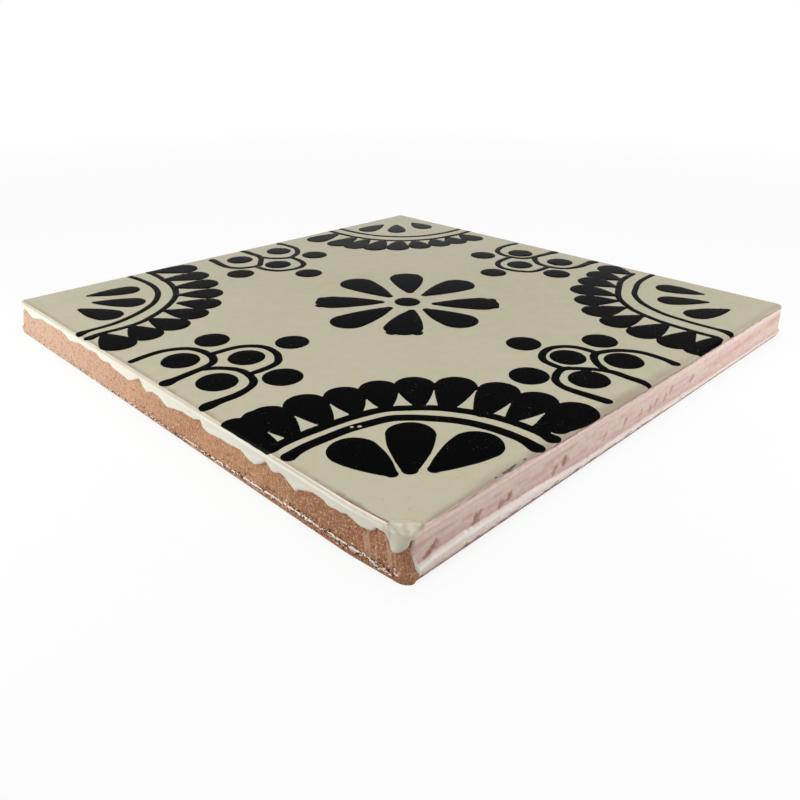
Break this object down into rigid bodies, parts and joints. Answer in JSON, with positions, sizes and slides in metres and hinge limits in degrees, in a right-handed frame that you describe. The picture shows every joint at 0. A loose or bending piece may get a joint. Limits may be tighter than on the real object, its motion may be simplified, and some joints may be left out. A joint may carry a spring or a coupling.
{
  "type": "talavera tile",
  "caption": "Square hand-finished wall tile of red clay with a glazed, painted face and glaze runs down its walls, for setting on a flat bed.",
  "frame": {"origin": "middle of the flat back, in the plane that the tile lies on", "axes": "+Z out of the glazed face; +X and +Y along the two pairs of walls, with the dripping wall at -X and the fully glazed wall at -Y"},
  "size_m": [0.105, 0.105, 0.0068],
  "materials": {
    "glaze": "cream tin glaze, satin gloss, with small pinholes and specks",
    "painted_line": "black painted glaze, standing slightly proud of the cream glaze, gloss",
    "wall_glaze": "thin pinkish glaze over red clay, satin",
    "clay": "bare fired red clay, matte, sandy"
  },
  "bodies": {
    "root": {"tile": "glaze"}
  },
  "joints": []
}
